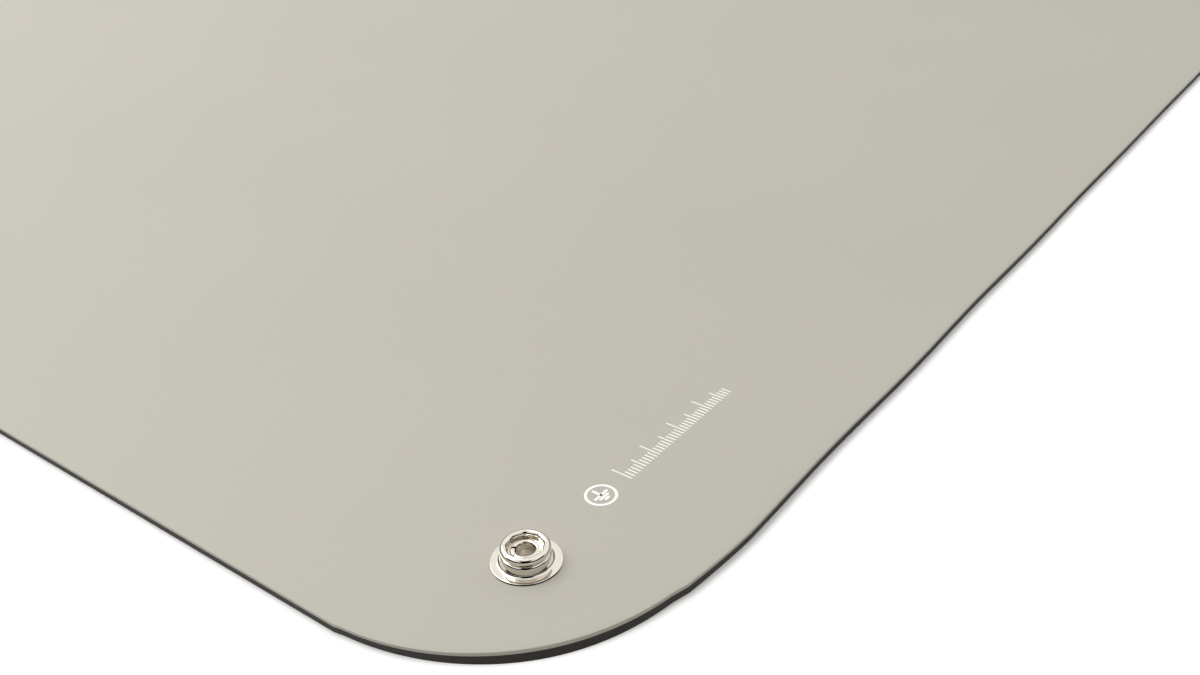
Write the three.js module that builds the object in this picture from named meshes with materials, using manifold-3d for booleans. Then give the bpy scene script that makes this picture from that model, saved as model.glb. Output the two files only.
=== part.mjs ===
// An anti-static bench mat: a thin beige rubber sheet bonded to a thicker black one, with a
// 10 mm press stud riveted near each front corner for the cord that grounds it.
// Millimetres, +Z up. The origin is on the floor under the middle of the mat, +X runs along
// its front edge and +Y to its back edge.

import * as THREE from "three";
import { mergeVertices } from "three/addons/utils/BufferGeometryUtils.js";
import Module from "manifold-3d";

// The rubber sheets
const MAT_LENGTH = 1200;
const MAT_DEPTH = 600;
const TOP_LAYER_THICKNESS = 0.6;
const BASE_LAYER_THICKNESS = 1.4;
const CORNER_RADIUS = 53;

// The studs' centres, from the mat's ends and from its front edge
const STUD_INSET_X = 33.4;
const STUD_INSET_Y = 30.8;

// The press stud's radial sizes. A cord's socket grips the bead and seats on the flange
const BEAD_RADIUS = 5;
const BEAD_WIDTH = 1.5;
const NECK_DEPTH = 0.65;
const SHOULDER_OVERHANG = 0.18;
const FOOT_DEPTH = 0.08;
const SEAT_CLEARANCE = 0.07;
const SEAT_WIDTH = 2;

// The press stud's heights, upwards from the rubber
const STUD_PLATE = 0.3;
const FOOT_RISE = 0.15;
const SHOULDER_HEIGHT = 1.3;
const FLOOR_HEIGHT = 2.35;
const NECK_RISE = 0.05;
const STUD_HEIGHT = 4.1;

// The eyelet that clamps the stud to the rubber
const BORE_RADIUS = 1.95;
const EYELET_WALL = 0.4;
const CURL_WIDTH = 1.05;
const CURL_HEIGHT = 0.68;
const EYELET_FLANGE_RADIUS = 6;
const EYELET_FLANGE_THICKNESS = 0.4;
const BORE_ENTRY_RADIUS = 0.5;

// Clearances round the eyelet
const BARREL_CLEARANCE = 0.15;
const RECESS_CLEARANCE = 0.15;

// Facets of a full turn, and steps in a quarter of a rounded section
const TURN_FACETS = 32;
const QUARTER_STEPS = 3;

const matThickness = BASE_LAYER_THICKNESS + TOP_LAYER_THICKNESS;
const barrelRadius = BORE_RADIUS + EYELET_WALL;
const eyeletHoleRadius = barrelRadius + BARREL_CLEARANCE;
const studY = -MAT_DEPTH / 2 + STUD_INSET_Y;
const studPlaces = [
  { side: "left", x: -MAT_LENGTH / 2 + STUD_INSET_X },
  { side: "right", x: MAT_LENGTH / 2 - STUD_INSET_X },
];

const dissipativeRubber = new THREE.MeshStandardMaterial({
  color: 0xc5c1b5,
  roughness: 0.75,
  metalness: 0,
});
const conductiveRubber = new THREE.MeshStandardMaterial({
  color: 0x262628,
  roughness: 0.8,
  metalness: 0,
});
const nickelPlate = new THREE.MeshStandardMaterial({
  color: 0xd9d7d2,
  roughness: 0.15,
  metalness: 1,
});

const wasm = await Module();
wasm.setup();

function solidOf(geometry) {
  const bare = geometry.clone();
  bare.deleteAttribute("normal");
  bare.deleteAttribute("uv");
  const merged = mergeVertices(bare);
  return new wasm.Manifold(
    new wasm.Mesh({
      numProp: 3,
      vertProperties: merged.getAttribute("position").array,
      triVerts: Uint32Array.from(merged.index.array),
    }),
  );
}

function geometryOf(solid) {
  const { vertProperties, triVerts } = solid.getMesh();
  const geometry = new THREE.BufferGeometry();
  geometry.setAttribute("position", new THREE.BufferAttribute(vertProperties, 3));
  geometry.setIndex(new THREE.BufferAttribute(triVerts, 1));
  geometry.computeVertexNormals();
  return geometry;
}

// The outline of the mat with its four rounded corners and the eyelets' two holes
function matOutline() {
  const x = MAT_LENGTH / 2 - CORNER_RADIUS;
  const y = MAT_DEPTH / 2 - CORNER_RADIUS;
  const outline = new THREE.Shape();
  outline.absarc(x, -y, CORNER_RADIUS, -Math.PI / 2, 0, false);
  outline.absarc(x, y, CORNER_RADIUS, 0, Math.PI / 2, false);
  outline.absarc(-x, y, CORNER_RADIUS, Math.PI / 2, Math.PI, false);
  outline.absarc(-x, -y, CORNER_RADIUS, Math.PI, 1.5 * Math.PI, false);
  outline.closePath();
  for (const place of studPlaces) {
    const hole = new THREE.Path();
    hole.absarc(place.x, studY, eyeletHoleRadius, 0, 2 * Math.PI, true);
    outline.holes.push(hole);
  }
  return outline;
}

// An arc's step count is twice curveSegments, so each hole gets TURN_FACETS sides
function sheetGeometry(thickness) {
  return new THREE.ExtrudeGeometry(matOutline(), {
    depth: thickness,
    bevelEnabled: false,
    curveSegments: TURN_FACETS / 2,
  });
}

// The black sheet has a round recess under each stud, where the eyelet's flange lies flush
function baseLayerGeometry() {
  let sheet = solidOf(sheetGeometry(BASE_LAYER_THICKNESS));
  const radius = EYELET_FLANGE_RADIUS + RECESS_CLEARANCE;
  const height = 2 * EYELET_FLANGE_THICKNESS;
  for (const place of studPlaces) {
    const recess = new THREE.CylinderGeometry(radius, radius, height, TURN_FACETS);
    recess.rotateX(Math.PI / 2);
    recess.translate(place.x, studY, 0);
    sheet = sheet.subtract(solidOf(recess));
  }
  return geometryOf(sheet);
}

// Turns a closed section, a path of radius and height, round the Z axis. The section runs
// anticlockwise, up its outside, so the faces point out.
function turned(section) {
  const geometry = new THREE.LatheGeometry(section.getPoints(QUARTER_STEPS), TURN_FACETS);
  geometry.rotateX(Math.PI / 2);
  return geometry;
}

// The stud is pressed from one plate: a flat flange on which a socket's rim can seat clear of
// the shoulder, a foot that rises to the swelling shoulder, a neck and a round bead, and inside
// the bead a cup whose floor the eyelet's curl holds down
function pressStudGeometry() {
  const halfBead = BEAD_WIDTH / 2;
  const beadCentre = BEAD_RADIUS - halfBead;
  const beadHeight = matThickness + STUD_HEIGHT - halfBead;
  const cupRadius = BEAD_RADIUS - BEAD_WIDTH;
  const neckRadius = BEAD_RADIUS - NECK_DEPTH;
  const neckAngle = -Math.acos((neckRadius - beadCentre) / halfBead);
  const shoulderRadius = BEAD_RADIUS + SHOULDER_OVERHANG;
  const footRadius = shoulderRadius - FOOT_DEPTH;
  const seatRadius = shoulderRadius + SEAT_CLEARANCE;
  const flangeRadius = seatRadius + SEAT_WIDTH;
  const flangeTop = matThickness + STUD_PLATE;
  const footHeight = flangeTop + FOOT_RISE;
  const shoulderHeight = matThickness + SHOULDER_HEIGHT;
  const floorTop = matThickness + FLOOR_HEIGHT;
  const floorUnderside = floorTop - STUD_PLATE;
  const neckFoot = floorTop + NECK_RISE;

  const section = new THREE.Path();
  section.moveTo(footRadius - STUD_PLATE, matThickness);
  section.lineTo(flangeRadius, matThickness);
  section.lineTo(flangeRadius, flangeTop);
  section.lineTo(seatRadius, flangeTop);
  section.lineTo(footRadius, footHeight);
  section.quadraticCurveTo(
    shoulderRadius, (footHeight + shoulderHeight) / 2,
    shoulderRadius, shoulderHeight,
  );
  section.quadraticCurveTo(
    shoulderRadius, (shoulderHeight + neckFoot) / 2,
    neckRadius, neckFoot,
  );
  section.absarc(beadCentre, beadHeight, halfBead, neckAngle, Math.PI, false);
  section.lineTo(cupRadius, floorTop);
  section.lineTo(eyeletHoleRadius, floorTop);
  section.lineTo(eyeletHoleRadius, floorUnderside);
  section.lineTo(neckRadius - STUD_PLATE, floorUnderside);
  section.quadraticCurveTo(
    shoulderRadius - STUD_PLATE, (shoulderHeight + floorUnderside) / 2,
    shoulderRadius - STUD_PLATE, shoulderHeight,
  );
  section.quadraticCurveTo(
    shoulderRadius - STUD_PLATE, (flangeTop + shoulderHeight) / 2,
    footRadius - STUD_PLATE, flangeTop,
  );
  section.closePath();
  return turned(section);
}

// The eyelet is a tube with a flat flange under the rubber and a curled rim on the cup's floor
function eyeletGeometry() {
  const curlFoot = matThickness + FLOOR_HEIGHT;
  const curlCentre = BORE_RADIUS + CURL_WIDTH / 2;
  const curlMiddle = curlFoot + CURL_HEIGHT / 2;
  const entryCentre = BORE_RADIUS + BORE_ENTRY_RADIUS;

  const section = new THREE.Path();
  section.moveTo(entryCentre, 0);
  section.lineTo(EYELET_FLANGE_RADIUS, 0);
  section.lineTo(EYELET_FLANGE_RADIUS, EYELET_FLANGE_THICKNESS);
  section.lineTo(barrelRadius, EYELET_FLANGE_THICKNESS);
  section.lineTo(barrelRadius, curlFoot);
  section.absellipse(
    curlCentre, curlMiddle, CURL_WIDTH / 2, CURL_HEIGHT / 2, -Math.PI / 2, Math.PI, false,
  );
  section.absarc(
    entryCentre, BORE_ENTRY_RADIUS, BORE_ENTRY_RADIUS, Math.PI, 1.5 * Math.PI, false,
  );
  return turned(section);
}

function namedMesh(name, geometry, material) {
  const mesh = new THREE.Mesh(geometry, material);
  mesh.name = name;
  return mesh;
}

const mat = new THREE.Group();
mat.add(namedMesh("conductive_base_layer", baseLayerGeometry(), conductiveRubber));

const topLayer = namedMesh(
  "dissipative_top_layer", sheetGeometry(TOP_LAYER_THICKNESS), dissipativeRubber,
);
topLayer.position.z = BASE_LAYER_THICKNESS;
mat.add(topLayer);

for (const { side, x } of studPlaces) {
  const fastener = new THREE.Group();
  fastener.position.set(x, studY, 0);
  fastener.add(namedMesh(`press_stud_${side}`, pressStudGeometry(), nickelPlate));
  fastener.add(namedMesh(`eyelet_${side}`, eyeletGeometry(), nickelPlate));
  mat.add(fastener);
}

export default mat;
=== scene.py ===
# Dresses the frame of an anti-static bench mat: two bonded rubber sheets with a knife-cut edge,
# and nickel-plated press studs riveted near the front corners. Metres, +Z up.
import math

import bpy
import numpy as np
from bpy.props import FloatProperty, FloatVectorProperty, IntProperty, PointerProperty
from mathutils import Matrix, Vector
from mathutils.geometry import delaunay_2d_cdt


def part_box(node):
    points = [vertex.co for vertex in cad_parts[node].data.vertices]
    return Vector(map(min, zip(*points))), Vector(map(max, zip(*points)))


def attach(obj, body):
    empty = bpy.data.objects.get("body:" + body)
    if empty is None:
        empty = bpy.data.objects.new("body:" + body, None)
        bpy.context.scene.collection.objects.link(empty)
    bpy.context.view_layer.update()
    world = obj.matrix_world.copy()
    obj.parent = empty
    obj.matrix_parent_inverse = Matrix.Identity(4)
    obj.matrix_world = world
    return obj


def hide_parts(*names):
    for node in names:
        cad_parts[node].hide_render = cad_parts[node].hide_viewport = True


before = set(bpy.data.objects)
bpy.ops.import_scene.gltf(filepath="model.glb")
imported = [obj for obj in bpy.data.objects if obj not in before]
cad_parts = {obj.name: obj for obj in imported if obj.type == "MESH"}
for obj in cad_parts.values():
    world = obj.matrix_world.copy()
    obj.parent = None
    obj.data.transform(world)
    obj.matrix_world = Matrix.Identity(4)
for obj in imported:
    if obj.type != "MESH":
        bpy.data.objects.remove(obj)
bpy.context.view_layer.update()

bl_info = {
    "name": "Anti-static bench mat",
    "version": (1, 0, 0),
    "blender": (4, 5, 0),
    "location": "3D View > Sidebar > Bench mat",
    "description": "Builds the rubber sheets, press studs, eyelets, print and studio of a bench mat",
    "category": "Add Mesh",
}

MM = 0.001
BODY = "root"
SIDES = ("left", "right")

# Places and sizes that the frame gives
SHEET_LOW, SHEET_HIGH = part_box("dissipative_top_layer")
HALF_LENGTH = SHEET_HIGH.x
HALF_DEPTH = SHEET_HIGH.y
INTERFACE = SHEET_LOW.z
RUBBER_TOP = SHEET_HIGH.z

# The light tent, as stops of the direction's height or share along an axis, and a grey level
TENT_CLOTH = [(0.0, 0.02), (0.2, 0.03), (0.32, 0.95), (1.0, 1.0)]
FRONT_HEIGHT = [(0.5, 1.0), (0.62, 0.0)]
GAP_WIDTH = [(0.24, 1.0), (0.4, 0.0)]
GAP_HEIGHT = [(0.9, 1.0), (0.96, 0.0)]
FRONT_SIDE = [(0.0, 0.0), (0.12, 1.0)]

# The soft key light and the floor
KEY_SIZE = (1.6, 1.2)
KEY_PLACE = Vector((-0.6, 1.0, 1.5))
KEY_AIM = Vector((-0.45, -0.1, 0))
FLOOR_SIDE = 30.0
FLOOR_CELLS = 8

# The point that the camera looks at, from the front left corner, and its sensor in millimetres
VIEW_INSET = (105.899 * MM, 68.391 * MM)
SENSOR_WIDTH = 36

# The corner's arc, as angles round its centre, and the straight step in to it from the end
ARC_START = math.radians(185.2)
ARC_STOP = math.radians(259.8)
STEP_IN = 2 * MM

# The power of the run-out's curve, and the counts of points along a quarter of the outline
RUN_OUT_POWER = 1.5
END_POINTS, ARC_POINTS, RUN_OUT_POINTS, FRONT_POINTS = 34, 56, 12, 64

# Width of the flat strip between a sheet's rim and its filled faces
MARGIN = 1.5 * MM

# Inner points stay this share of a cell from the edges, faces whose middle lies within this share
# of a hole's radius are left out, and points nearer than the weld are one
CELL_CLEARANCE = 0.6
HOLE_SHARE = 0.99
WELD = 1e-9

# Facets of a hole in the rubber and of the printed ring
RING_FACETS = 96

# The stud's wall: how far its foot spreads and its top leans in, how far its top and the neck's
# foot lie above the cup's floor, and how far its inside stands back
FOOT_SPREAD = 0.15 * MM
LEAN = 0.2 * MM
SHOULDER_STEP = 0.02 * MM
NECK_STEP = 0.13 * MM
INNER_STEP = 0.46 * MM

# The fillets of the pressed plate, from the sharpest
CREASE = 0.03 * MM
HEM = 0.05 * MM
INNER_BEND = 0.1 * MM
CUP_BEND = 0.2 * MM
SHOULDER_INSIDE = 0.3 * MM
FOOT_BEND = 0.6 * MM
SHOULDER_BEND = 0.7 * MM

# Sides that the press tool gave the cup's mouth
LIP_SIDES = 9

# The curl's splits: angle, swing, half width, and the share of the curl's width where it begins
SPLITS = [
    (math.radians(112), math.radians(6), 0.24 * MM, 0),
    (math.radians(166), 0, 0.13 * MM, 0.6),
]

# How steep a split's sides are, its height above the cup's floor, and the share of the drop past
# which a face takes the near-black painted shade of the split's hollow
SPLIT_POWER = 8
SPLIT_REST = 0.02 * MM
PAINTED_SHADE_DEPTH = 0.4

# The earth sign's stem, bars and their spacing in fifths of its radius, and the scale's marks as
# shares of the longest
STEM = 3
BAR_HALVES = (2.7, 1.7, 0.7)
BAR_SPACING = 1.15
FIFTH_MARK = 0.72
PLAIN_MARK = 0.45


def centre_of(node):
    """The middle of a node's box, seen from above."""
    low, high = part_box(node)
    return (low.x + high.x) / 2, (low.y + high.y) / 2


def radius_of(node):
    """Half the width of a round node's box."""
    low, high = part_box(node)
    return (high.x - low.x) / 2


def srgb(code):
    """Turns an sRGB hex colour into linear red, green, blue and alpha."""
    channels = [int(code[i : i + 2], 16) / 255 for i in (1, 3, 5)]
    return [c / 12.92 if c <= 0.04045 else ((c + 0.055) / 1.055) ** 2.4 for c in channels] + [1.0]


def length(name, text, value, **more):
    """A size in metres that a user can change."""
    return FloatProperty(
        name=name, description=text, default=value, unit="LENGTH", precision=5, min=0, **more
    )


def colour(name, text, code):
    """A surface colour that a user can change."""
    return FloatVectorProperty(
        name=name, description=text, default=srgb(code), subtype="COLOR", size=4, min=0, max=1
    )


class RubberSettings(bpy.types.PropertyGroup):
    """The sheets' cut edge and their colours."""

    corner_radius: length("Corner radius", "Radius of the arc that the corner is cut to", 50 * MM)
    corner_end: length("Arc from end", "Least distance of the arc from the mat's end", 0.2 * MM)
    corner_front: length("Arc from front", "Least distance of the arc from the front edge", 1.75 * MM)
    run_start: length("Run-out start", "Where the knife leaves the arc, from the mat's end", 45.5 * MM)
    run_depth: length("Run-out depth", "Distance from the front edge at the run-out's start", 1.45 * MM)
    run_end: length("Run-out end", "Where the run-out meets the front edge", 66 * MM)
    slant: length("Slant", "How far the slanted knife leaves the foot of a corner proud", 1.1 * MM)
    wave: length("Edge wave", "How far the long cuts wander from a straight line", 0.33 * MM)
    wave_length: length("Wave length", "Length of one wander of the long cuts", 74 * MM)
    wave_start: length("Wave start", "Where a wander of the front cut begins", 117.5 * MM)
    wave_reach: length("Wave reach", "How far from a corner the wander dies out", 230 * MM)
    edge_round: length("Edge rounding", "Radius that the knife leaves on the top edge", 0.14 * MM)
    cell: length("Mesh cell", "Spacing of the points on the flat faces", 12 * MM)
    top_colour: colour("Top colour", "Beige of the dissipative sheet", "#ABA79C")
    base_colour: colour("Base colour", "Black of the conductive sheet", "#2E2927")


class StudSettings(bpy.types.PropertyGroup):
    """The press stud's and the eyelet's sections. Heights are from the rubber's top."""

    bead_radius: length("Bead radius", "Outer radius of the bead that a socket grips", 5 * MM)
    bead_foot: length("Bead foot", "Height of the bead's underside", 2.6 * MM)
    cup_radius: length("Cup radius", "Inner radius of the cup", 3.52 * MM)
    cup_floor: length("Cup floor", "Height of the cup's floor", 2.35 * MM)
    lip: length("Lip", "How far the press tool left the cup's mouth from round", 0.1 * MM)
    neck_radius: length("Neck radius", "Outer radius of the neck", 4.35 * MM)
    shoulder_radius: length("Shoulder radius", "Greatest radius of the shoulder", 5.18 * MM)
    shoulder_height: length("Shoulder height", "Where the plate's inside turns in", 1.9 * MM)
    plate: length("Plate", "Thickness of the stud's plate", 0.3 * MM)
    bore_radius: length("Bore radius", "Inner radius of the eyelet", 1.95 * MM)
    wall: length("Eyelet wall", "Thickness of the eyelet's tube and flange", 0.4 * MM)
    curl_radius: length("Curl radius", "Outer radius of the eyelet's curled rim", 3 * MM)
    curl_height: length("Curl height", "Height of the curled rim's top", 3.03 * MM)
    clearance: length("Clearance", "Gap between the eyelet and its holes", 0.15 * MM)
    facets: IntProperty(name="Facets", description="Facets of a full turn", default=224, min=24)
    metal_colour: colour("Metal colour", "Warm white of bright nickel", "#E2DCD1")
    # The splits' bare brass, coloured near-black as painted shade of the hollow inside the curl
    split_painted_shade_colour: colour("Torn colour", "Dark bare brass inside the curl's splits", "#16120D")


class PrintSettings(bpy.types.PropertyGroup):
    """The white marks printed by the left stud: an earth sign, and a scale of millimetres."""

    sign_end: length("Sign from end", "Distance of the earth sign from the mat's end", 57.3 * MM)
    sign_front: length("Sign from front", "Distance of the earth sign from the front edge", 31 * MM)
    sign_radius: length("Sign radius", "Outer radius of the ring round the earth sign", 3.5 * MM)
    scale_end: length("Scale from end", "Distance of the scale's first mark from the end", 65.3 * MM)
    scale_front: length("Scale from front", "Distance of the scale from the front edge", 29.1 * MM)
    scale_marks: IntProperty(name="Marks", description="Millimetre marks of the scale", default=39, min=2)
    mark: length("Longest mark", "Length of each tenth mark", 5.1 * MM)
    stroke: length("Stroke", "Width of the earth sign's lines", 0.62 * MM)
    film: length("Film", "Thickness of the ink", 0.03 * MM)
    ink_colour: colour("Ink colour", "White of the ink", "#F2F1EC")


class StageSettings(bpy.types.PropertyGroup):
    """The camera's place and the studio's light."""

    lens: FloatProperty(
        name="Lens", description="Focal length on a 36 mm sensor", default=39.033, unit="CAMERA"
    )
    distance: length("Distance", "From the camera to the point that it looks at", 318.28 * MM)
    azimuth: FloatProperty(
        name="Azimuth", description="Round the mat, from its front", default=math.radians(-50.834),
        subtype="ANGLE",
    )
    elevation: FloatProperty(
        name="Elevation", description="Above the horizon", default=math.radians(31.682),
        subtype="ANGLE",
    )
    roll: FloatProperty(
        name="Roll", description="Turn about the line of sight", default=math.radians(-3.406),
        subtype="ANGLE",
    )
    sky: FloatProperty(name="Tent", description="Brightness of the light tent", default=1.4)
    key: FloatProperty(name="Key", description="Power of the soft key light", default=26, unit="POWER")
    floor_colour: colour("Floor colour", "White paper that the mat lies on", "#FAFAF8")


def add_node(tree, kind, settings=None, inputs=None):
    """Adds a node with its settings. An input's value is a number, a colour or the socket that feeds it."""
    node = tree.nodes.new(kind)
    for name, value in (settings or {}).items():
        setattr(node, name, value)
    for name, value in (inputs or {}).items():
        if isinstance(value, bpy.types.NodeSocket):
            tree.links.new(value, node.inputs[name])
        else:
            node.inputs[name].default_value = value
    return node


def noise(tree, place, size, detail):
    """A soft noise with patches of about that size."""
    node = add_node(
        tree, "ShaderNodeTexNoise", inputs={"Vector": place, "Scale": 1 / size, "Detail": detail}
    )
    return node.outputs["Fac"]


def spread(tree, value, low, high):
    """Carries a value between 0 and 1 to between low and high."""
    node = add_node(tree, "ShaderNodeMapRange", inputs={"Value": value, "To Min": low, "To Max": high})
    return node.outputs["Result"]


def product(tree, first, second):
    """Two values multiplied."""
    node = add_node(tree, "ShaderNodeMath", {"operation": "MULTIPLY"}, {0: first, 1: second})
    return node.outputs["Value"]


def shaded(tree, base, amount):
    """A colour made darker or lighter by an amount."""
    node = add_node(
        tree, "ShaderNodeVectorMath", {"operation": "SCALE"},
        {"Vector": tuple(base[:3]), "Scale": amount},
    )
    return node.outputs["Vector"]


def relief(tree, height, strength, depth):
    """A normal that shows a fine relief as deep as depth."""
    node = add_node(
        tree, "ShaderNodeBump", inputs={"Strength": strength, "Distance": depth, "Height": height}
    )
    return node.outputs["Normal"]


def share_along(tree, direction, axis):
    """The cosine between a direction and an axis."""
    node = add_node(
        tree, "ShaderNodeVectorMath", {"operation": "DOT_PRODUCT"}, {0: direction, 1: axis}
    )
    return node.outputs["Value"]


def ramp(tree, value, stops):
    """A grey ramp over a value. Each stop is a position and a grey level."""
    node = add_node(tree, "ShaderNodeValToRGB", inputs={"Fac": value})
    elements = node.color_ramp.elements
    while len(elements) < len(stops):
        elements.new(0.5)
    for element, (position, grey) in zip(elements, stops):
        element.position = position
        element.color = (grey, grey, grey, 1)
    return node.outputs["Color"]


def new_material(name):
    """An empty node material with its output node, and the object's own coordinates."""
    material = bpy.data.materials.new(name)
    material.use_nodes = True
    tree = material.node_tree
    tree.nodes.clear()
    output = add_node(tree, "ShaderNodeOutputMaterial")
    place = add_node(tree, "ShaderNodeTexCoord").outputs["Object"]
    return material, tree, output, place


def finish(tree, output, inputs):
    """Joins a surface with these inputs to the material's output."""
    surface = add_node(tree, "ShaderNodeBsdfPrincipled", inputs=inputs)
    tree.links.new(surface.outputs["BSDF"], output.inputs["Surface"])


def calendered_rubber(name, base, grain, roughness):
    """Calendered rubber: a matte sheet, its skin pebbled by the rollers and very faintly clouded.

    The pebble breaks up what little the sheet reflects, and the clouding keeps it from looking
    like paper. The pebbles are as coarse as they need to be to show.
    """
    material, tree, output, place = new_material(name)
    clouds = noise(tree, place, size=90 * MM, detail=3.0)
    specks = noise(tree, place, size=grain, detail=2.0)
    cloud_tone = spread(tree, clouds, low=0.965, high=1.035)
    speck_tone = spread(tree, specks, low=0.955, high=1.045)
    finish(
        tree, output,
        {
            "Base Color": shaded(tree, base, product(tree, cloud_tone, speck_tone)),
            "Roughness": spread(tree, clouds, low=roughness - 0.05, high=roughness + 0.05),
            "Normal": relief(tree, specks, strength=0.35, depth=0.05 * MM),
            "IOR": 1.5,
        },
    )
    return material


def bright_nickel(base):
    """Bright nickel plate on pressed brass: a warm white mirror that the press tool left slightly
    uneven, with hair-fine rubbing marks that only break the edges of what it reflects."""
    material, tree, output, place = new_material("bright_nickel_plate")
    swell = noise(tree, place, size=1.6 * MM, detail=1.0)
    rub = noise(tree, place, size=0.12 * MM, detail=4.0)
    finish(
        tree, output,
        {
            "Base Color": tuple(base),
            "Metallic": 1.0,
            "Roughness": spread(tree, rub, low=0.05, high=0.13),
            "Normal": relief(tree, swell, strength=0.25, depth=0.03 * MM),
        },
    )
    return material


def screen_ink(base):
    """Screen-printed white ink: thin and slightly uneven, so the rubber's pebble shows through."""
    material, tree, output, place = new_material("screen_printed_white_ink")
    cover = noise(tree, place, size=0.5 * MM, detail=3.0)
    finish(
        tree, output,
        {
            "Base Color": shaded(tree, base, spread(tree, cover, low=0.93, high=1.03)),
            "Roughness": 0.5,
            "Normal": relief(tree, cover, strength=0.3, depth=0.03 * MM),
        },
    )
    return material


def painted_shade_brass(base):
    """Bare brass inside a split: dull, and coloured near-black as painted shade of the curl's hollow, so
    the tear reads as a black line.
    """
    material, tree, output, place = new_material("torn_brass_painted_shade")
    stains = noise(tree, place, size=0.2 * MM, detail=2.0)
    finish(
        tree, output,
        {
            "Base Color": tuple(base),
            "Metallic": 0.6,
            "Roughness": spread(tree, stains, low=0.5, high=0.8),
        },
    )
    return material


def matte_paper(base):
    """Matte background paper: even and pale, with a slight mottling of its fibres."""
    material, tree, output, place = new_material("matte_background_paper")
    fibres = noise(tree, place, size=4 * MM, detail=3.0)
    finish(
        tree, output,
        {
            "Base Color": shaded(tree, base, spread(tree, fibres, low=0.985, high=1.015)),
            "Roughness": 0.9,
            "Specular IOR Level": 0.2,
        },
    )
    return material


def new_piece(name, vertices, faces, material, smooth_below=40):
    """Makes a mesh object of vertices and faces, smooth except where faces turn sharply."""
    mesh = bpy.data.meshes.new(name)
    mesh.from_pydata(vertices, [], faces)
    mesh.update()
    mesh.shade_smooth()
    mesh.set_sharp_from_angle(angle=math.radians(smooth_below))
    mesh.materials.append(material)
    piece = bpy.data.objects.new(name, mesh)
    bpy.context.scene.collection.objects.link(piece)
    return piece


def dress(piece, node):
    """Lets a piece stand for its node, whose part is hidden, and ride on the body."""
    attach(piece, BODY)
    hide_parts(node)


def strip_quads(loops, count, first, closed):
    """Quads between successive loops of count points. Closed also joins the last loop to the first."""
    rows = loops if closed else loops - 1
    i, j = np.meshgrid(np.arange(rows), np.arange(count), indexing="ij")
    above, beside = (i + 1) % loops, (j + 1) % count
    corners = [i * count + j, i * count + beside, above * count + beside, above * count + j]
    return first + np.stack(corners, -1).reshape(-1, 4)


def quarter_outline(cut):
    """One corner's cut, from the middle of the mat's end to the middle of its front edge.

    x is the distance from the end and y from the front edge. The cut follows the end, steps in
    to an arc round a centre that lies a little too far in, and leaves the arc on a run-out
    whose y falls to 0 as a power of the distance that is left. The weight is 0 on the
    straight edges and swells to 1 along the corner as a squared sine. Returns x, y and weight.
    """
    radius = cut.corner_radius
    centre = np.array([radius + cut.corner_end, radius + cut.corner_front])
    angle = np.linspace(ARC_START, ARC_STOP, ARC_POINTS)
    arc = centre + radius * np.stack([np.cos(angle), np.sin(angle)], 1)
    down_end = np.linspace(HALF_DEPTH, arc[0, 1] + STEP_IN, END_POINTS)
    left = np.linspace(1, 0, RUN_OUT_POINTS)
    run_x = cut.run_end - (cut.run_end - cut.run_start) * left
    run_out = np.stack([run_x, cut.run_depth * left**RUN_OUT_POWER], 1)
    corner = np.concatenate([arc, run_out])
    along = np.linspace(cut.run_end, HALF_LENGTH, FRONT_POINTS)[1:]
    points = np.concatenate(
        [
            np.stack([np.zeros_like(down_end), down_end], 1), corner,
            np.stack([along, np.zeros_like(along)], 1),
        ]
    )
    weight = np.zeros(len(points))
    inside = slice(len(down_end), len(down_end) + len(corner))
    weight[inside] = np.sin(math.pi * np.linspace(0, 1, len(corner))) ** 2
    return points[:, 0], points[:, 1], weight


def mat_outline(cut):
    """The whole outline, anticlockwise from above: the quarter, and its mirror images.

    The front and back cuts wander outwards by a sine of the distance along them, which dies out
    away from the corners. Returns the points, the outward normals and the slant's weights.
    """
    x, y, weight = quarter_outline(cut)
    x, y = x - HALF_LENGTH, y - HALF_DEPTH
    quarters = [(x, y), (-x[::-1], y[::-1]), (-x, -y), (x[::-1], -y[::-1])]
    weights = [weight, weight[::-1], weight, weight[::-1]]
    points = np.concatenate([np.stack(q, 1)[:-1] for q in quarters])
    weight = np.concatenate([w[:-1] for w in weights])
    tangent = np.roll(points, -1, 0) - np.roll(points, 1, 0)
    normal = np.stack([tangent[:, 1], -tangent[:, 0]], 1)
    normal /= np.linalg.norm(normal, axis=1)[:, None]
    turns = (points[:, 0] + HALF_LENGTH - cut.wave_start) / cut.wave_length
    fading = np.exp(-(((HALF_LENGTH - np.abs(points[:, 0])) / cut.wave_reach) ** 2))
    wander = cut.wave * fading * np.sin(2 * math.pi * turns) * (1 - weight) * normal[:, 1] ** 2
    return points + normal * wander[:, None], normal, weight


def inside_sheet(points, holes, cut, margin):
    """True for points that lie in the sheet, a margin away from its edge and its holes."""
    inner = np.abs(points) - [HALF_LENGTH - cut.corner_radius, HALF_DEPTH - cut.corner_radius]
    beyond = np.linalg.norm(np.maximum(inner, 0), axis=1) + np.minimum(inner.max(1), 0)
    keep = beyond < cut.corner_radius - margin
    for centre, radius in holes:
        keep &= np.linalg.norm(points - centre, axis=1) > radius + margin
    return keep


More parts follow.
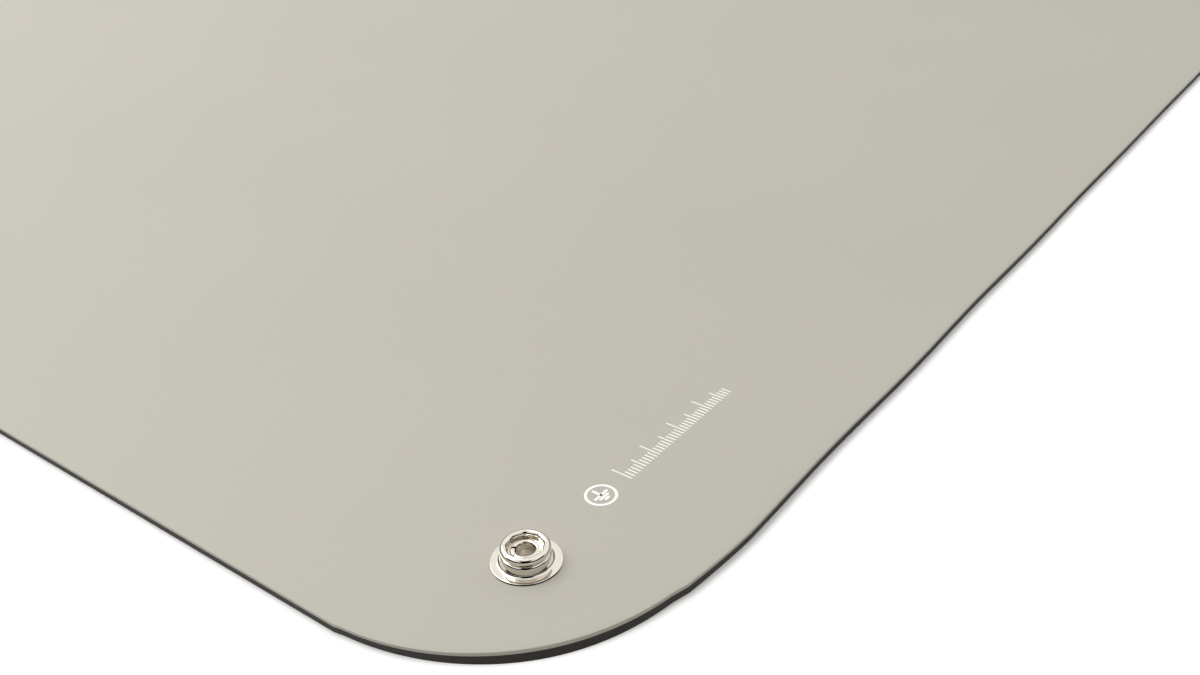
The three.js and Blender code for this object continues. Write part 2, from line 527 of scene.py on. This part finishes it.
def filled(loops, holes, cut):
    """Fills the face between the outer loop and the holes' loops with even triangles.

    The inner points are a square grid. Returns them, and triangles that index the loops' points
    in order and then the inner ones.
    """
    columns = np.arange(-HALF_LENGTH, HALF_LENGTH, cut.cell) + cut.cell / 2
    rows = np.arange(-HALF_DEPTH, HALF_DEPTH, cut.cell) + cut.cell / 2
    grid = np.stack(np.meshgrid(columns, rows), -1).reshape(-1, 2)
    grid = grid[inside_sheet(grid, holes, cut, cut.cell * CELL_CLEARANCE)]
    points = np.concatenate(loops + [grid])
    edges = []
    first = 0
    for loop in loops:
        index = first + np.arange(len(loop))
        edges += np.stack([index, np.roll(index, -1)], 1).tolist()
        first += len(loop)
    found = delaunay_2d_cdt([Vector(p) for p in points], edges, [], 1, WELD)
    source = np.array([origin[0] for origin in found[3]])
    triangles = source[np.array(found[2])]
    middle = points[triangles].mean(1)
    for centre, radius in holes:
        triangles = triangles[np.linalg.norm(middle - centre, axis=1) > radius * HOLE_SHARE]
        middle = points[triangles].mean(1)
    return grid, triangles


def sheet_surface(cut, rim, walls):
    """Vertices and faces of one rubber sheet.

    rim is the edge's section, inset and height from the underside to the top. walls holds the
    holes: a centre, and a section of radius and height from the top to the underside. The
    rim's section is carried along the outline, pushed out by the knife's slant times the depth
    below the mat's top, and the faces between the rim and the holes are filled.
    """
    outline, normal, weight = mat_outline(cut)
    blocks, faces = [], []
    for inset, height in rim:
        out = cut.slant * weight * (1 - height / RUBBER_TOP) - inset
        flat = outline + normal * out[:, None]
        blocks.append(np.column_stack([flat, np.full(len(flat), height)]))
    count = len(outline)
    faces += strip_quads(len(rim), count, 0, False).tolist()
    starts, ends = [0], [count * (len(rim) - 1)]
    total = count * len(rim)
    turn = 2 * math.pi * np.arange(RING_FACETS) / RING_FACETS
    circle = np.stack([np.cos(turn), np.sin(turn)], 1)
    for centre, section in walls:
        for radius, height in section:
            ring = centre + radius * circle
            blocks.append(np.column_stack([ring, np.full(len(ring), height)]))
        faces += strip_quads(len(section), len(turn), total, False).tolist()
        ends.append(total)
        starts.append(total + len(turn) * (len(section) - 1))
        total += len(turn) * len(section)
    vertices = np.concatenate(blocks)
    sizes = [count] + [len(turn)] * len(walls)
    for firsts, row, upward in ((ends, 0, True), (starts, -1, False)):
        index = np.concatenate([f + np.arange(n) for f, n in zip(firsts, sizes)])
        holes = [(centre, section[row][0]) for centre, section in walls]
        loops = [vertices[f : f + n, :2] for f, n in zip(firsts, sizes)]
        grid, triangles = filled(loops, holes, cut)
        height = vertices[index[0], 2]
        index = np.concatenate([index, len(vertices) + np.arange(len(grid))])
        vertices = np.concatenate([vertices, np.column_stack([grid, np.full(len(grid), height)])])
        triangles = index[triangles]
        faces += (triangles if upward else triangles[:, ::-1]).tolist()
    return vertices, faces


def rounded_edge(radius, top, steps=5):
    """The top corner of a rim's section: a quarter arc of inset and height, then a flat margin."""
    angle = np.linspace(0, math.pi / 2, steps)
    arc = np.stack([radius - radius * np.cos(angle), top - radius + radius * np.sin(angle)], 1)
    return [tuple(p) for p in arc] + [(MARGIN, top)]


class BENCHMAT_OT_rubber_sheets(bpy.types.Operator):
    """Build the beige and the black rubber sheet with their knife-cut edge"""

    bl_idname = "bench_mat.rubber_sheets"
    bl_label = "Rubber sheets"

    def execute(self, context):
        cut = context.scene.bench_mat_rubber
        stud = context.scene.bench_mat_stud
        hole = stud.bore_radius + stud.wall + stud.clearance
        recess_radius = radius_of("eyelet_left") + stud.clearance
        recess_height = stud.wall
        centres = [np.array(centre_of("press_stud_" + side)) for side in SIDES]

        soft = 0.03 * MM
        top_rim = [(MARGIN, INTERFACE), (soft, INTERFACE), (0, INTERFACE + soft)]
        top_rim += rounded_edge(cut.edge_round, RUBBER_TOP)
        top_walls = [(c, [(hole, RUBBER_TOP), (hole, INTERFACE)]) for c in centres]
        vertices, faces = sheet_surface(cut, top_rim, top_walls)
        beige = calendered_rubber(
            "calendered_beige_rubber", cut.top_colour, grain=0.55 * MM, roughness=0.6
        )
        top = new_piece("beige_rubber_sheet", vertices, faces, beige)
        dress(top, "dissipative_top_layer")

        base_rim = [(MARGIN, 0), (2 * soft, 0), (0, 2 * soft)]
        base_rim += rounded_edge(soft, INTERFACE, steps=3)
        recess = [
            (hole, INTERFACE), (hole, recess_height),
            (recess_radius, recess_height), (recess_radius, 0),
        ]
        base_walls = [(c, recess) for c in centres]
        vertices, faces = sheet_surface(cut, base_rim, base_walls)
        black = calendered_rubber(
            "calendered_black_rubber", cut.base_colour, grain=0.6 * MM, roughness=0.62
        )
        base = new_piece("black_rubber_sheet", vertices, faces, black)
        dress(base, "conductive_base_layer")
        return {"FINISHED"}


def filleted(corners, steps=9):
    """Points of a closed section whose corners are rounded.

    Each corner is a radius, a height and a fillet. Its two sides give the half angle a between
    them. The arc's centre lies on their bisector at fillet / sin(a), and the arc runs between
    the two tangent points, turning evenly.
    """
    table = np.array(corners)
    point, fillet = table[:, :2], table[:, 2:]
    back = np.roll(point, 1, 0) - point
    ahead = np.roll(point, -1, 0) - point
    back /= np.linalg.norm(back, axis=1)[:, None]
    ahead /= np.linalg.norm(ahead, axis=1)[:, None]
    half = np.arccos(np.clip((back * ahead).sum(1), -1, 1))[:, None] / 2
    bisector = (back + ahead) / np.linalg.norm(back + ahead, axis=1)[:, None]
    centre = point + bisector * fillet / np.sin(half)
    first = point + back * fillet / np.tan(half) - centre
    last = point + ahead * fillet / np.tan(half) - centre
    turn = math.pi - 2 * half[:, None]
    t = np.linspace(0, 1, steps)[None, :, None]
    arc = (np.sin((1 - t) * turn) * first[:, None] + np.sin(t * turn) * last[:, None]) / np.sin(turn)
    return (centre[:, None] + arc).reshape(-1, 2)


def revolved(section, facets, centre, reshape):
    """Turns a closed section of radius and height round a vertical axis.

    reshape takes the grids of radius, height and angle, and returns the radius and the height
    as the press tool left them.
    """
    angle = 2 * math.pi * np.arange(facets) / facets
    turn, radius = np.meshgrid(angle, section[:, 0], indexing="ij")
    height = np.meshgrid(angle, section[:, 1], indexing="ij")[1]
    radius, height = reshape(radius, height, turn)
    x = centre[0] + radius * np.cos(turn)
    y = centre[1] + radius * np.sin(turn)
    vertices = np.stack([x, y, RUBBER_TOP + height], -1).reshape(-1, 3)
    return vertices, strip_quads(facets, len(section), 0, True)[:, ::-1]


def stud_section(stud, flange_radius, top):
    """The pressed plate's section, anticlockwise: flange, wall, shoulder, neck, bead, cup and
    floor, then back along the underside. Heights are from the rubber's top."""
    plate, floor, shoulder = stud.plate, stud.cup_floor, stud.shoulder_radius
    roll = (top - stud.bead_foot) / 2
    crest = (stud.bead_radius - stud.cup_radius) / 2
    hole = stud.bore_radius + stud.wall + stud.clearance
    bulge = stud.shoulder_height / 2
    return filleted(
        [
            (flange_radius - plate / 3, 0, plate * 0.1),
            (flange_radius, plate * 0.12, plate * 0.1),
            (flange_radius - plate * 0.55, plate, plate * 0.45),
            (shoulder + FOOT_SPREAD, plate, FOOT_BEND),
            (shoulder - LEAN, floor + SHOULDER_STEP, SHOULDER_BEND),
            (stud.neck_radius, floor + NECK_STEP, CREASE),
            (stud.neck_radius, stud.bead_foot, CREASE),
            (stud.bead_radius, stud.bead_foot, roll * 0.65),
            (stud.bead_radius, top, crest * 1.1),
            (stud.cup_radius, top, crest * 0.8),
            (stud.cup_radius, floor, CUP_BEND),
            (hole, floor, HEM),
            (hole, floor - plate, HEM),
            (stud.neck_radius - plate, floor - plate, INNER_BEND),
            (shoulder - INNER_STEP, stud.shoulder_height * 0.9, CUP_BEND),
            (shoulder - plate, bulge, SHOULDER_INSIDE),
            (shoulder - 2 * plate, plate * 1.8, INNER_BEND),
            (shoulder - 2 * plate, 0, HEM),
        ]
    )


def pressed_lip(stud, top):
    """The press tool leaves the cup's mouth slightly many-sided: the radius there swells by a
    cosine of LIP_SIDES times the angle, which fades out over the bead's crest and down the cup."""
    crest = (stud.bead_radius + stud.cup_radius) / 2

    def reshape(radius, height, turn):
        inward = np.clip((crest - radius) / (crest - stud.cup_radius), 0, 1)
        high = np.clip((height - stud.cup_floor) / (top - stud.cup_floor), 0, 1)
        return radius + stud.lip * np.cos(LIP_SIDES * turn) * inward * high, height

    return reshape


class BENCHMAT_OT_press_studs(bpy.types.Operator):
    """Press the two studs from plate, with their bead, shoulder and flange"""

    bl_idname = "bench_mat.press_studs"
    bl_label = "Press studs"

    def execute(self, context):
        stud = context.scene.bench_mat_stud
        nickel = bright_nickel(stud.metal_colour)
        for side in SIDES:
            node = "press_stud_" + side
            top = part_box(node)[1].z - RUBBER_TOP
            section = stud_section(stud, radius_of(node), top)
            lip = pressed_lip(stud, top)
            vertices, faces = revolved(section, stud.facets, centre_of(node), lip)
            piece = new_piece("nickel_press_stud_" + side, vertices, faces, nickel)
            dress(piece, node)
        return {"FINISHED"}


def eyelet_section(stud, flange_radius):
    """The eyelet's section, anticlockwise: flange, barrel, curled rim and bore. Heights are from
    the rubber's top, so the flange lies below 0."""
    underside = -RUBBER_TOP
    flange_top = underside + stud.wall
    barrel = stud.bore_radius + stud.wall
    foot, top, rim = stud.cup_floor, stud.curl_height, stud.curl_radius
    roll = (rim - stud.bore_radius) / 2
    return filleted(
        [
            (flange_radius, underside, stud.wall * 0.4),
            (flange_radius, flange_top, stud.wall * 0.4),
            (barrel, flange_top, stud.wall * 0.2),
            (barrel, foot, 0.02 * MM),
            (rim, foot, (top - foot) * 0.3),
            (rim, top, roll * 0.8),
            (stud.bore_radius, top, roll * 0.7),
            (stud.bore_radius, underside, roll),
        ]
    )


def split_curl(stud):
    """Rolling the curl tore it. Each split runs out from the bore at an angle that swings by so
    much over the curl's width. Along it the curl drops towards the cup's floor, by the share
    exp(-(distance / width) ** SPLIT_POWER). Returns the function that drops it, and the share."""

    def depth(radius, turn):
        across = np.clip((radius - stud.bore_radius) / (stud.curl_radius - stud.bore_radius), 0, 1)
        drop = np.zeros_like(radius)
        for angle, swing, width, inner in SPLITS:
            away = np.angle(np.exp(1j * (turn - angle - swing * across))) * radius
            drop = np.maximum(drop, np.exp(-((away / width) ** SPLIT_POWER)) * (across >= inner))
        return drop

    def reshape(radius, height, turn):
        floor = stud.cup_floor + SPLIT_REST
        return radius, height + (floor - height) * depth(radius, turn) * (height > floor)

    return reshape, depth


class BENCHMAT_OT_eyelets(bpy.types.Operator):
    """Turn the two eyelets, with a split where the curl was rolled over"""

    bl_idname = "bench_mat.eyelets"
    bl_label = "Eyelets"

    def execute(self, context):
        stud = context.scene.bench_mat_stud
        nickel = bpy.data.materials["bright_nickel_plate"]
        # The second material is near-black painted shade for the hollow inside the splits
        split_shade = painted_shade_brass(stud.split_painted_shade_colour)
        reshape, depth = split_curl(stud)
        for side in SIDES:
            node = "eyelet_" + side
            section = eyelet_section(stud, radius_of(node))
            centre = centre_of(node)
            vertices, faces = revolved(section, 2 * stud.facets, centre, reshape)
            piece = new_piece("nickel_eyelet_" + side, vertices, faces, nickel)
            piece.data.materials.append(split_shade)
            # Faces deep in a split, above the cup's floor and off the bore, take the near-black painted
            # shade
            corners = vertices[faces]
            middle = corners.mean(1)
            x, y = (middle[:, :2] - centre).T
            low = RUBBER_TOP + stud.cup_floor
            away = np.hypot(x, y)
            inside = depth(away, np.arctan2(y, x)) > PAINTED_SHADE_DEPTH
            inside &= corners[:, :, 2].max(1) > low
            inside &= away > stud.bore_radius + SPLIT_REST
            piece.data.polygons.foreach_set("material_index", inside.astype(int))
            dress(piece, node)
        return {"FINISHED"}


def ring_of_ink(ink, centre, radius):
    """A flat ring of ink, as a turned section with soft edges."""
    soft = ink.film * 0.4
    inner = radius - ink.stroke
    corners = [
        (radius, 0, soft), (radius, ink.film, soft), (inner, ink.film, soft), (inner, 0, soft),
    ]
    section = filleted(corners, steps=4)
    return revolved(section, RING_FACETS, centre, lambda r, z, turn: (r, z))


def line_of_ink(ink, start, end, width):
    """A stroke of ink with round ends: three outlines, the top one drawn in to soften the edge,
    closed by a face above and one below."""
    start, end = np.array(start), np.array(end)
    turn = np.linspace(-math.pi / 2, math.pi / 2, 9)
    heading = math.atan2(*(end - start)[::-1])
    angle = np.concatenate([heading + turn, heading + math.pi + turn])
    side = np.stack([np.cos(angle), np.sin(angle)], 1)
    middle = np.repeat([end, start], len(turn), axis=0)
    soft = ink.film * 0.5
    rows = [(width / 2, 0), (width / 2, soft), (width / 2 - soft, ink.film)]
    count = len(side)
    loops = [np.column_stack([middle + side * r, np.full(count, RUBBER_TOP + z)]) for r, z in rows]
    faces = strip_quads(len(rows), count, 0, False).tolist()
    faces.append(list(range(count))[::-1])
    faces.append(list(range(count * (len(rows) - 1), count * len(rows))))
    return np.concatenate(loops), faces


class BENCHMAT_OT_printed_marks(bpy.types.Operator):
    """Print the earth sign and the millimetre scale in white ink by the left stud"""

    bl_idname = "bench_mat.printed_marks"
    bl_label = "Printed marks"

    def execute(self, context):
        ink = context.scene.bench_mat_print
        centre = np.array([ink.sign_end - HALF_LENGTH, ink.sign_front - HALF_DEPTH])
        patches = [ring_of_ink(ink, centre, ink.sign_radius)]
        patches += [line_of_ink(ink, a, b, ink.stroke) for a, b in self.earth_sign(ink, centre)]
        patches += [line_of_ink(ink, a, b, ink.stroke / 2) for a, b in self.scale_lines(ink)]
        vertices, faces, first = [], [], 0
        for block, cells in patches:
            vertices.append(block)
            faces += [[first + index for index in cell] for cell in cells]
            first += len(block)
        white = screen_ink(ink.ink_colour)
        piece = new_piece("screen_printed_marks", np.concatenate(vertices), faces, white)
        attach(piece, BODY)
        return {"FINISHED"}

    def earth_sign(self, ink, centre):
        """A stem down to three bars, each shorter than the one above it."""
        unit = ink.sign_radius / 5
        yield centre + (0, STEM * unit), centre
        for step, half in enumerate(BAR_HALVES):
            height = -BAR_SPACING * step * unit
            yield centre + (-half * unit, height), centre + (half * unit, height)

    def scale_lines(self, ink):
        """Marks a millimetre apart. Each fifth and each tenth is longer."""
        for number in range(ink.scale_marks):
            share = 1 if number % 10 == 0 else FIFTH_MARK if number % 5 == 0 else PLAIN_MARK
            x = ink.scale_end - HALF_LENGTH + number * MM
            y = ink.scale_front - HALF_DEPTH
            yield (x, y), (x, y + share * ink.mark)


class BENCHMAT_OT_stage(bpy.types.Operator):
    """Lay the pale floor and set the soft light and the camera"""

    bl_idname = "bench_mat.stage"
    bl_label = "Stage"

    def execute(self, context):
        stage = context.scene.bench_mat_stage
        self.lay_floor(stage)
        self.hang_tent(context.scene, stage)
        self.hang_key(context.scene, stage)
        self.place_camera(context.scene, stage)
        context.scene.view_settings.view_transform = "Standard"
        return {"FINISHED"}

    def lay_floor(self, stage):
        """A flat square of background paper under the mat, as a grid of heights that are all 0."""
        cells = FLOOR_CELLS
        line = np.linspace(-FLOOR_SIDE / 2, FLOOR_SIDE / 2, cells + 1)
        x, y = np.meshgrid(line, line)
        vertices = np.stack([x, y, np.zeros_like(x)], -1).reshape(-1, 3)
        index = np.arange(cells * (cells + 1)).reshape(cells, cells + 1)[:, :-1].reshape(-1, 1)
        faces = index + np.array([0, 1, cells + 2, cells + 1])
        floor = new_piece("paper_floor", vertices, faces.tolist(), matte_paper(stage.floor_colour))

    def hang_tent(self, scene, stage):
        """A light tent: white walls and roof and a dark foot, which is higher at the front, and a
        dark gap there that the camera looks through, as wide at its top as at its foot.

        Below the floor the tent is mirrored, so that it lights the mat's underside when the floor
        is hidden. The camera sees plain white paper behind the floor.
        """
        world = bpy.data.worlds.new("light_tent")
        scene.world = world
        world.use_nodes = True
        tree = world.node_tree
        tree.nodes.clear()
        direction = add_node(tree, "ShaderNodeTexCoord").outputs["Generated"]
        rise = add_node(tree, "ShaderNodeSeparateXYZ", inputs={"Vector": direction}).outputs["Z"]
        folded = add_node(tree, "ShaderNodeMath", {"operation": "ABSOLUTE"}, {0: rise})
        height = folded.outputs["Value"]
        toward = (math.sin(stage.azimuth), -math.cos(stage.azimuth), 0)
        aside = (math.cos(stage.azimuth), math.sin(stage.azimuth), 0)
        ahead = share_along(tree, direction, toward)
        beside = share_along(tree, direction, aside)
        apart = add_node(tree, "ShaderNodeMath", {"operation": "ABSOLUTE"}, {0: beside})
        cloth = ramp(tree, height, TENT_CLOTH)
        wide = ramp(tree, apart.outputs["Value"], GAP_WIDTH)
        gap = product(tree, wide, ramp(tree, height, GAP_HEIGHT))
        skirt = ramp(tree, height, FRONT_HEIGHT)
        dark = add_node(tree, "ShaderNodeMath", {"operation": "MAXIMUM"}, {0: gap, 1: skirt})
        front = product(tree, dark.outputs["Value"], ramp(tree, ahead, FRONT_SIDE))
        closed = add_node(tree, "ShaderNodeMath", {"operation": "SUBTRACT"}, {0: 1.0, 1: front})
        light = product(tree, cloth, closed.outputs["Value"])
        tent = add_node(
            tree, "ShaderNodeBackground", inputs={"Strength": product(tree, light, stage.sky)}
        )
        paper = add_node(tree, "ShaderNodeBackground", inputs={"Color": stage.floor_colour})
        seen = add_node(tree, "ShaderNodeLightPath").outputs["Is Camera Ray"]
        both = add_node(
            tree, "ShaderNodeMixShader",
            inputs={0: seen, 1: tent.outputs["Background"], 2: paper.outputs["Background"]},
        )
        add_node(tree, "ShaderNodeOutputWorld", inputs={"Surface": both.outputs["Shader"]})

    def hang_key(self, scene, stage):
        """A large soft light behind the mat's left corner, which brightens the sheet there."""
        light = bpy.data.lights.new("soft_key", "AREA")
        light.shape = "RECTANGLE"
        light.size, light.size_y = KEY_SIZE
        light.energy = stage.key
        lamp = bpy.data.objects.new("soft_key", light)
        scene.collection.objects.link(lamp)
        lamp.location = KEY_PLACE
        lamp.rotation_euler = (KEY_AIM - KEY_PLACE).to_track_quat("-Z", "Y").to_euler()
        lamp.visible_camera = False

    def place_camera(self, scene, stage):
        """Looks down on the front left corner, with the roll that the view has."""
        back = Vector(
            (
                math.sin(stage.azimuth) * math.cos(stage.elevation),
                -math.cos(stage.azimuth) * math.cos(stage.elevation),
                math.sin(stage.elevation),
            )
        )
        level = back.cross(Vector((0, 0, -1))).normalized()
        rise = back.cross(level)
        right = math.cos(stage.roll) * level + math.sin(stage.roll) * rise
        up = math.cos(stage.roll) * rise - math.sin(stage.roll) * level
        aim = Vector((VIEW_INSET[0] - HALF_LENGTH, VIEW_INSET[1] - HALF_DEPTH, RUBBER_TOP))
        data = bpy.data.cameras.new("view")
        data.lens = stage.lens
        data.sensor_width = SENSOR_WIDTH
        data.clip_start = 0.01
        camera = bpy.data.objects.new("view", data)
        turn = Matrix((right, up, back)).transposed().to_4x4()
        camera.matrix_world = Matrix.Translation(aim + back * stage.distance) @ turn
        scene.collection.objects.link(camera)
        scene.camera = camera


class BENCHMAT_PT_panel(bpy.types.Panel):
    """Lists the pieces' operators and their sizes"""

    bl_label = "Bench mat"
    bl_idname = "BENCHMAT_PT_panel"
    bl_space_type = "VIEW_3D"
    bl_region_type = "UI"
    bl_category = "Bench mat"

    def draw(self, context):
        scene = context.scene
        for group in GROUPS:
            settings = getattr(scene, group)
            box = self.layout.box()
            for name in type(settings).__annotations__:
                box.prop(settings, name)
        for operator in OPERATORS:
            self.layout.operator(operator.bl_idname)


OPERATORS = (
    BENCHMAT_OT_rubber_sheets,
    BENCHMAT_OT_press_studs,
    BENCHMAT_OT_eyelets,
    BENCHMAT_OT_printed_marks,
    BENCHMAT_OT_stage,
)
GROUPS = {
    "bench_mat_rubber": RubberSettings,
    "bench_mat_stud": StudSettings,
    "bench_mat_print": PrintSettings,
    "bench_mat_stage": StageSettings,
}


def register():
    for group in GROUPS.values():
        bpy.utils.register_class(group)
    for name, group in GROUPS.items():
        setattr(bpy.types.Scene, name, PointerProperty(type=group))
    for operator in OPERATORS:
        bpy.utils.register_class(operator)
    bpy.utils.register_class(BENCHMAT_PT_panel)


def unregister():
    bpy.utils.unregister_class(BENCHMAT_PT_panel)
    for operator in reversed(OPERATORS):
        bpy.utils.unregister_class(operator)
    for name, group in GROUPS.items():
        delattr(bpy.types.Scene, name)
        bpy.utils.unregister_class(group)


def main():
    register()
    bpy.ops.bench_mat.rubber_sheets()
    bpy.ops.bench_mat.press_studs()
    bpy.ops.bench_mat.eyelets()
    bpy.ops.bench_mat.printed_marks()
    bpy.ops.bench_mat.stage()


if __name__ == "__main__":
    main()
